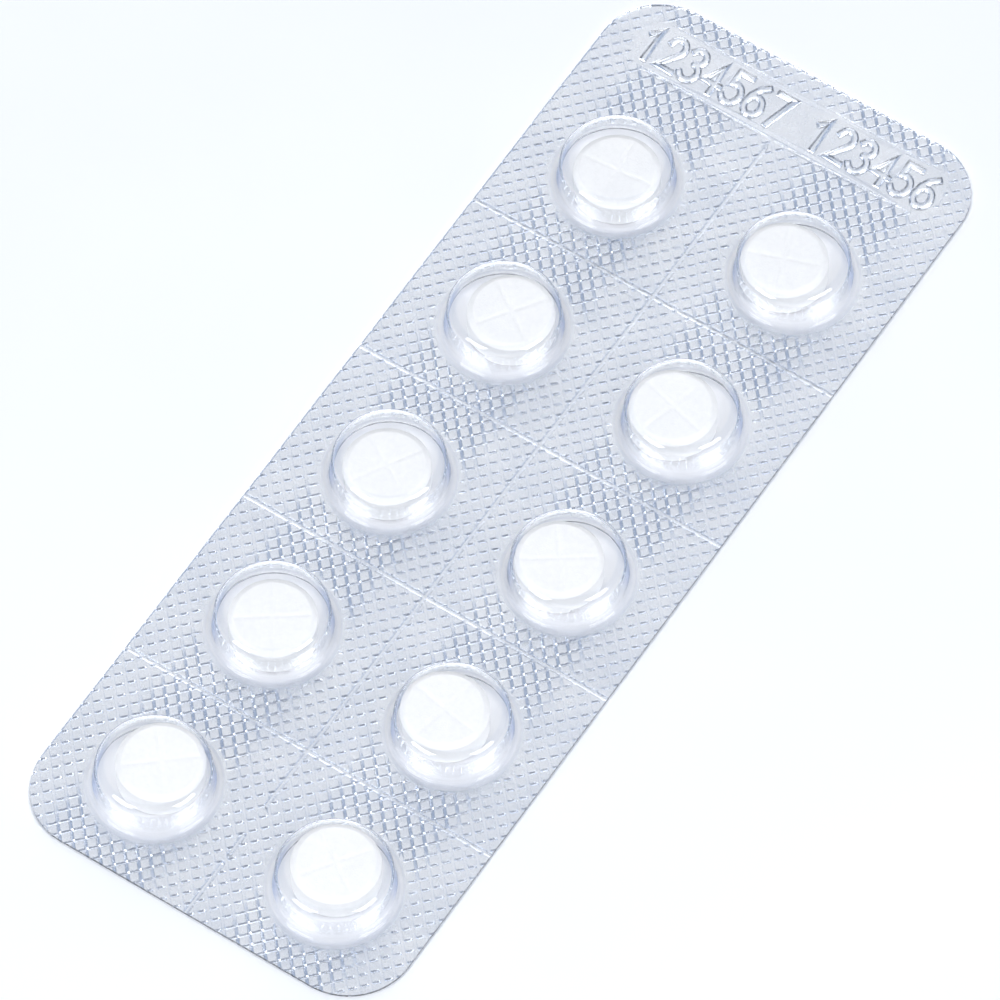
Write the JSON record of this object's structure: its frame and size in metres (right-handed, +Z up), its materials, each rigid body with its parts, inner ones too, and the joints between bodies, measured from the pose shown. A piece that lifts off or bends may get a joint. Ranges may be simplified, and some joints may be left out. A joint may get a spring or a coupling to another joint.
{
  "type": "pill blister pack",
  "caption": "Clear thermoformed push-through tablet pack with a grid of round domed pockets on a flat aluminium foil card with rounded corners, tablets sealed inside.",
  "frame": {"origin": "centre of the foil's underside, where the card rests", "axes": "+X across the card, +Y along the card towards the end with the embossed code, +Z up out of the pockets"},
  "size_m": [0.035, 0.094, 0.0036],
  "materials": {
    "clear_film": "clear glossy rigid vinyl film, heat sealed with a fine diamond knurl",
    "foil": "bright hard aluminium foil with the same diamond knurl pressed through it",
    "tablet_white": "matt white pressed powder"
  },
  "bodies": {
    "root": {"blister_film": "clear_film", "lidding_foil": "foil", "tablet_01": "tablet_white", "tablet_02": "tablet_white", "tablet_03": "tablet_white", "tablet_04": "tablet_white", "tablet_05": "tablet_white", "tablet_06": "tablet_white", "tablet_07": "tablet_white", "tablet_08": "tablet_white", "tablet_09": "tablet_white", "tablet_10": "tablet_white"}
  },
  "joints": []
}
